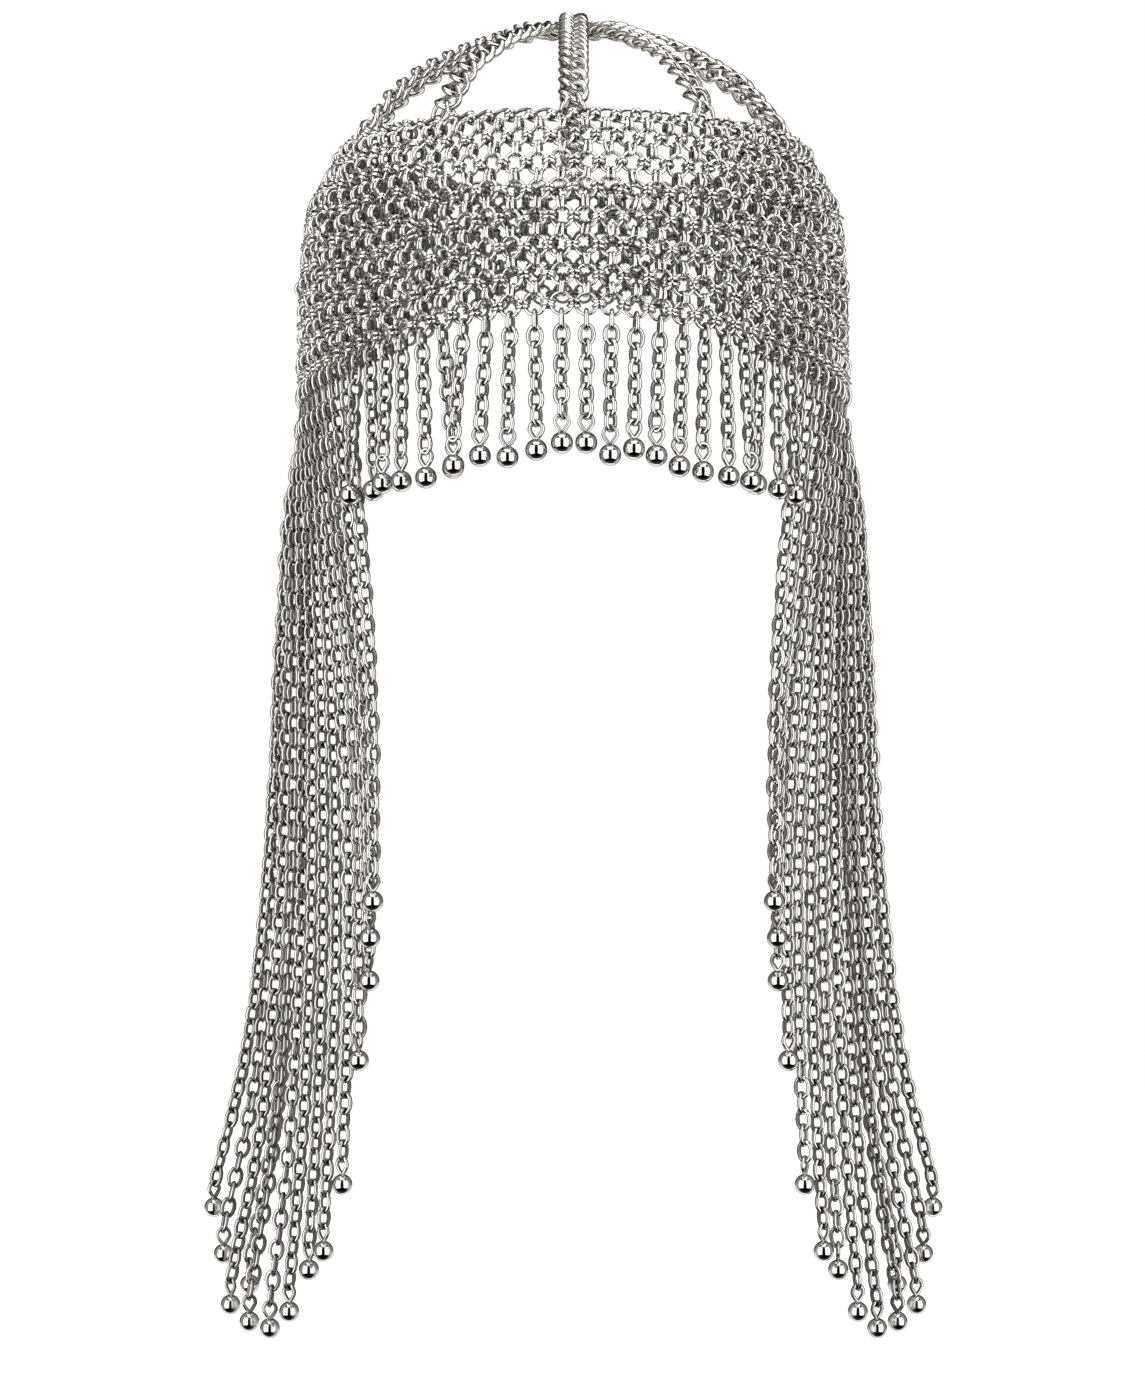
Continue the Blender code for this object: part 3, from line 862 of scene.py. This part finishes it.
def curb_row(points, sides, start, wanted_pitch, tapered):
    """Curb links from a distance along a line to its end, smaller at the start if tapered."""
    total = length_of(points)
    links = round((total - start) / wanted_pitch)
    pitch = (total - start) / links
    runs = start + (np.arange(links) + 0.5) * pitch
    middle, side, direction = spaced(points, sides, runs)
    frames = turned(axes(side, direction), "Y", rng.normal(0, CURB_TILT, links))
    frames = turned(frames, "Z", rng.normal(0, CURB_SWING, links))
    if tapered:
        share = TIP_SHARE + (1 - TIP_SHARE) * widening(runs)
        frames[:, :, 0] *= share[:, None]
        frames[:, :, 2] *= share[:, None]
    frames[:, :, 1] *= (pitch + 2 * CURB_WIRE) / CURB_LENGTH
    return curb_link, middle, frames, 0


print("curb link:", len(curb_link["faces"]), "faces")

# %% Rings that tie a crown chain to the mesh
HOLD_WIRE = 1.25 * MM
HOLD_WIDTH = 4.4 * MM
HOLD_LEAN = 1.3 * MM
# A ring round two wires is longer than they are apart, by this many of its own wires
HOLD_EXTRA = 2.6


def spanning_ring(first, second, outward, wire, width):
    """One ring that holds two wires at given places, standing across the mesh."""
    reach = second - first
    ring = wire_link(wire, width, float(np.linalg.norm(reach)) + HOLD_EXTRA * wire)
    return ring, (first + second)[None] / 2, axes(outward[None], reach[None]), 0


def ties_to_band(column, end, side, outward):
    """Two rings from the last curb link to the band's top rings on both sides of it."""
    found = []
    for aside in (-0.5, 0.5):
        top = ring_index[math.floor(column + aside) % COLUMNS, 0]
        held = ring_places[top] - ring_frames[top][:, 1] * (RING_WIDTH - RING_WIRE) / 2
        lean = side * math.copysign(HOLD_LEAN, (held - end) @ side)
        found.append(spanning_ring(end + lean, held, outward, HOLD_WIRE, HOLD_WIDTH))
    return found


# %% Crown chains in place
# About a third of the painted shade, and of the roughness it adds, for the crown chains
CROWN_SHADE_AND_ROUGH_SCALE = 0.36
HOOK_SIZE = {"wire": 1.2 * MM, "width": 5.4 * MM, "length": 6.6 * MM}
HOOK_INWARDS = 1.6 * MM
HOOK_LIFT = 0.8 * MM


def crown_side_chain(name, column):
    points, sides = crown_line(column, 0)
    outward = top_edge(column)[3]
    chain = curb_row(points, sides, SIDE_CHAIN_START, CURB_PITCH, tapered=True)
    place, side, direction = spaced(points, sides, np.array([SIDE_CHAIN_START - HOOK_INWARDS]))
    up = np.cross(side, direction)
    hook = (wire_link(**HOOK_SIZE), place - DOWN * HOOK_LIFT, axes(up, direction), 0)
    holding = ties_to_band(column, points[-1], sides[-1], outward)
    joined_piece(name, [chain, hook] + holding, [CURB_METAL], [name],
                 CROWN_SHADE_AND_ROUGH_SCALE)


def crown_center_chain():
    front, front_sides = crown_line(0, CENTER_RISE)
    back, back_sides = crown_line(COLUMNS / 2, CENTER_RISE)
    points = np.vstack([front[::-1], back[1:]])
    sides = np.vstack([front_sides[::-1], -back_sides[1:]])
    ring = wire_link(JOINING_RING_WIRE, 2 * JOINING_RING_RADIUS + JOINING_RING_WIRE,
                     steps=40, sides=12)
    place = np.array([[0, 0, CENTER_RISE - JOINING_RING_WIRE / 2 + 2 * GAP]])
    chain = curb_row(points, sides, 0, CENTER_PITCH, tapered=False)
    parts = [chain, (ring, place, np.eye(3)[None], 0)]
    for column, end, side in ((0, front[-1], front_sides[-1]),
                              (COLUMNS / 2, back[-1], back_sides[-1])):
        parts += ties_to_band(column, end, side, top_edge(column)[3])
    joined_piece("crown_chain_center", parts, [CURB_METAL],
                 ["crown_chain_center"], CROWN_SHADE_AND_ROUGH_SCALE)


crown_center_chain()
CROWN_PLACES = {
    "front_inner": CROWN_INNER_COLUMN,
    "front_outer": CROWN_OUTER_COLUMN,
    "side": CROWN_SIDE_COLUMN,
}
for side_name, sign in (("left", -1), ("right", 1)):
    for place_name, column in CROWN_PLACES.items():
        crown_side_chain(f"crown_chain_{place_name}_{side_name}", sign * column)
print("crown triangles:", sum(v for k, v in TRIANGLES.items() if k.startswith("crown")))

# %% [markdown]
# ## Hanging chains
# Each hanging chain is a plain cable chain: every link stands about square to the next. The first
# link passes through the lowest ring of its column and stands across it. Within a few links the
# chain settles so that its links stand aslant by turns to the left and right, which shows both
# from the front, and each chain and link is turned a little by chance. The last link holds an eye
# pinched onto a polished ball. The chains follow the lines of the solids, straight for the short
# fringe and eased outwards for the long curtain. The pitch is fitted to each chain, so that whole
# links fill it.

# %% Sizes of the hanging chains
CHAIN_WIDTH = 5.2 * MM
EYE_LENGTH = 4.6 * MM
BALL_DIAMETER = RING_PITCH - 0.8 * MM
FRINGE_LENGTH = 38.5 * MM
SIDE_CHAIN_DROP = 387 * MM
SIDE_SPREAD_SHARE = 0.1
FRINGE_WIRE = 1.32 * MM
FRINGE_PITCH = 4.1 * MM
FRINGE_SETTLES = 2.5
FRINGE_STEPS = 20
CURTAIN_WIRE = 1.34 * MM
CURTAIN_PITCH = 4.65 * MM
CURTAIN_SETTLES = 5
CURTAIN_STEPS = 60

# The rows give a chain's length and how it swings aside or forward, as shares of the fringe's
# length, the ring pitch and a ball
FRINGE_LEFT = (
    (0.890, -0.04, 0.00), (0.935, -0.03, 0.00), (0.970, 0.14, 0.00), (0.940, 0.30, 0.00),
    (0.985, 0.25, 0.45), (0.970, -0.22, -0.50), (1.010, -0.22, 0.00), (1.000, 0.12, 0.00),
    (0.980, 0.07, 0.15), (0.995, 0.00, -0.15), (0.995, 0.04, 0.35),
)
FRINGE_RIGHT = (
    (0.890, 0.00, 0.00), (0.970, -0.06, 0.00), (0.910, -0.10, 0.00), (0.940, -0.17, 0.00),
    (0.990, -0.18, 0.00), (1.000, -0.10, 0.00), (1.000, 0.19, 0.00), (1.000, 0.12, 0.30),
    (0.985, -0.03, -0.25), (0.985, -0.05, 0.15), (0.995, -0.02, 0.30),
)

# The rows give a chain's drop as a share of the longest one, then how far out it ends and how far
# it drapes inwards halfway, as shares of the band's half width
SIDE_CHAINS = (
    (0.662, 0.720, 0.016), (0.690, 0.735, 0.014), (0.723, 0.742, 0.006), (0.784, 0.785, 0.028),
    (0.879, 0.850, 0.050), (0.932, 0.925, 0.062), (0.949, 0.985, 0.060), (0.984, 1.065, 0.056),
    (1.000, 1.145, 0.052), (0.998, 1.230, 0.046), (0.988, 1.310, 0.036), (0.951, 1.345, 0.018),
    (0.917, 1.390, 0.004), (0.981, 1.260, 0.024),
)
shift_outwards = smooth_line((0, 0), (0.12, 0.24), (0.3, 0.36), (0.6, 0.49), (0.85, 0.72), (1, 1))
shift_inwards = smooth_line((0, 0), (0.25, 0.30), (0.6, 0.75), (1, 1))
print("fringe chains:", len(FRINGE_LEFT) + len(FRINGE_RIGHT), "curtain:", 2 * len(SIDE_CHAINS))


# %% Where the chains start
def bottom_edge(column):
    """Point on the straight-sided lower edge."""
    first = math.floor(column / RINGS_PER_CELL) * RINGS_PER_CELL
    share = (column - first) / RINGS_PER_CELL
    corners = np.array([first, first + RINGS_PER_CELL], float)
    ends = band_point(corners, band_height(corners))
    return ends[0] * (1 - share) + ends[1] * share


def chain_top(column):
    """Where a hanging chain's solid starts, clear of the edge over its whole width."""
    point = bottom_edge(column)
    reach = CHAIN_WIDTH / 2 / RING_PITCH
    point[2] = min(bottom_edge(column + shift)[2] for shift in (-reach, 0, reach)) - GAP
    return point


print("the first curtain chain starts at:", chain_top(len(FRINGE_LEFT) + 0.5))

# %% Links of a hanging chain
CHAIN_TURN = 9
LINK_DRIFT = 2
LINK_TILT = 4
LINK_SHIFT = 0.12 * MM


def links_along(line, outward, wire, pitch, settles):
    """Places and directions of the links that fill a line, with the fitted pitch."""
    total = length_of(line) + RING_WIRE / 2
    count = round(total / pitch)
    step = total / count
    middle, _, direction = spaced(line, line, (np.arange(count) + 0.5) * step - RING_WIRE / 2)
    eased = np.clip(np.arange(count) / settles, 0, 1)
    aslant = unit(np.sign(outward))
    sides = outward * (1 - eased[:, None]) + aslant * eased[:, None]
    turns = np.arange(count) % 2 * 90.0 + rng.normal(0, CHAIN_TURN) * eased
    turns += np.cumsum(rng.normal(0, LINK_DRIFT, count)) + rng.normal(0, LINK_TILT, count)
    frames = turned(axes(sides, direction), "Y", turns)
    frames[:, :, 1] *= (step + 2 * wire) / (pitch + 2 * wire)
    return middle + sides * rng.normal(0, LINK_SHIFT, count)[:, None], frames


# %% One hanging chain
EYE_WIRE = 1.25 * MM
EYE_WIDTH = 5.1 * MM
EYE_RING = 6.2 * MM
EYE_NECK = 0.55
EYE_SUNK = 0.7 * MM
EYE_TURN = 8

eye = wire_link(EYE_WIRE, EYE_WIDTH, EYE_RING, neck=EYE_NECK, steps=18)
end_ball = ball(BALL_DIAMETER)


def cable(wire, pitch, settles, eye_faces_front, steps):
    """The kind of a hanging chain: its link, and how it settles below the mesh."""
    return {"link": wire_link(wire, CHAIN_WIDTH, pitch + 2 * wire, steps=steps), "wire": wire,
            "pitch": pitch, "settles": settles, "eye_faces_front": eye_faces_front}


FRINGE = cable(FRINGE_WIRE, FRINGE_PITCH, FRINGE_SETTLES, eye_faces_front=True, steps=16)
CURTAIN = cable(CURTAIN_WIRE, CURTAIN_PITCH, CURTAIN_SETTLES, eye_faces_front=False, steps=14)


def hanging_chain(name, column, line, kind):
    """Links along a line from the column's lowest ring, then the eye and the ball."""
    k = math.floor(column) % COLUMNS
    lowest = ring_index[k, len(column_rows[k]) - 1]
    hook = ring_places[lowest] + ring_frames[lowest][:, 1] * (RING_WIDTH - RING_WIRE) / 2
    outward = unit(np.array([hook[0] / BAND_WIDTH, hook[1] / BAND_DEPTH, 0]))
    line = line + (hook - line[0]) * np.linspace(1, 0, len(line))[:, None]
    ball_place = line[-1] + DOWN * (EYE_LENGTH + BALL_DIAMETER / 2)
    eye_place = ball_place - DOWN * (BALL_DIAMETER / 2 + EYE_RING / 2 - EYE_SUNK)
    contact = eye_place - DOWN * (EYE_RING / 2 - EYE_WIRE)
    line = np.vstack([line[:-1], contact])
    middle, frames = links_along(line, outward, kind["wire"], kind["pitch"], kind["settles"])
    eye_side = np.cross(outward, DOWN) if kind["eye_faces_front"] else frames[-1][:, 2]
    eye_frame = turned(axes(eye_side[None], -DOWN[None]), "Y", rng.normal(0, EYE_TURN, 1))
    parts = [
        (kind["link"], middle, frames, 0),
        (eye, eye_place[None], eye_frame, 0),
        (end_ball, ball_place[None], np.eye(3)[None], 1),
    ]
    joined_piece(name, parts, [CHAIN_METAL, BALL_METAL], [name])
    return len(middle)


print("faces of a fringe link:", len(FRINGE["link"]["faces"]), "of a ball:",
      len(end_ball["faces"]))


# %% Lines of the fringe and the curtains
def fringe_strand(name, column, length, swing, forward):
    """A straight chain from its place on the lower edge to where its ball hangs."""
    side = math.copysign(1, column)
    top = chain_top(column)
    aside = bottom_edge(column + side) - bottom_edge(column)
    aside[2] = 0
    aside = unit(aside)
    outward = np.array([aside[1], -aside[0], 0])
    outward *= math.copysign(1, outward @ top)
    end = top + aside * swing * RING_PITCH + outward * forward * BALL_DIAMETER
    end[2] = top[2] - FRINGE_LENGTH * length + BALL_DIAMETER / 2 + EYE_LENGTH
    return hanging_chain(name, column, np.linspace(top, end, FRINGE_STEPS), FRINGE)


def side_strand(name, column, drop, reach_out, drape):
    """A long chain that eases outwards or inwards to its ball as it falls."""
    side = math.copysign(1, column)
    top = chain_top(column)
    shift = reach_out * BAND_WIDTH / 2 - abs(top[0])
    ease = shift_outwards if shift > 0 else shift_inwards
    lowest = -SIDE_CHAIN_DROP * drop + BALL_DIAMETER / 2 + EYE_LENGTH
    falls = np.linspace(0, 1, CURTAIN_STEPS)
    # Nothing at both ends and the whole drape halfway
    inwards = drape * BAND_WIDTH / 2 * 4 * falls * (1 - falls)
    line = np.column_stack([
        side * (abs(top[0]) + shift * ease(falls) - inwards),
        top[1] * (1 + SIDE_SPREAD_SHARE * falls ** 2),
        top[2] + (lowest - top[2]) * falls,
    ])
    return hanging_chain(name, column, line, CURTAIN)


# %% Fringe and curtains
last = len(FRINGE_LEFT)
link_count = 0
for i, row in enumerate(FRINGE_LEFT):
    link_count += fringe_strand(f"fringe_strand_{last - i:02d}", -(i + 0.5), *row)
for i, row in enumerate(FRINGE_RIGHT):
    link_count += fringe_strand(f"fringe_strand_{last + 1 + i:02d}", i + 0.5, *row)
print("fringe links:", link_count)
link_count = 0
for side_name, sign in (("left", -1), ("right", 1)):
    for i, row in enumerate(SIDE_CHAINS):
        name = f"side_strand_{side_name}_{i + 1:02d}"
        link_count += side_strand(name, sign * (last + i + 0.5), *row)
print("curtain links:", link_count)
print("triangles in all:", sum(TRIANGLES.values()), "most in one piece:", max(TRIANGLES.values()))
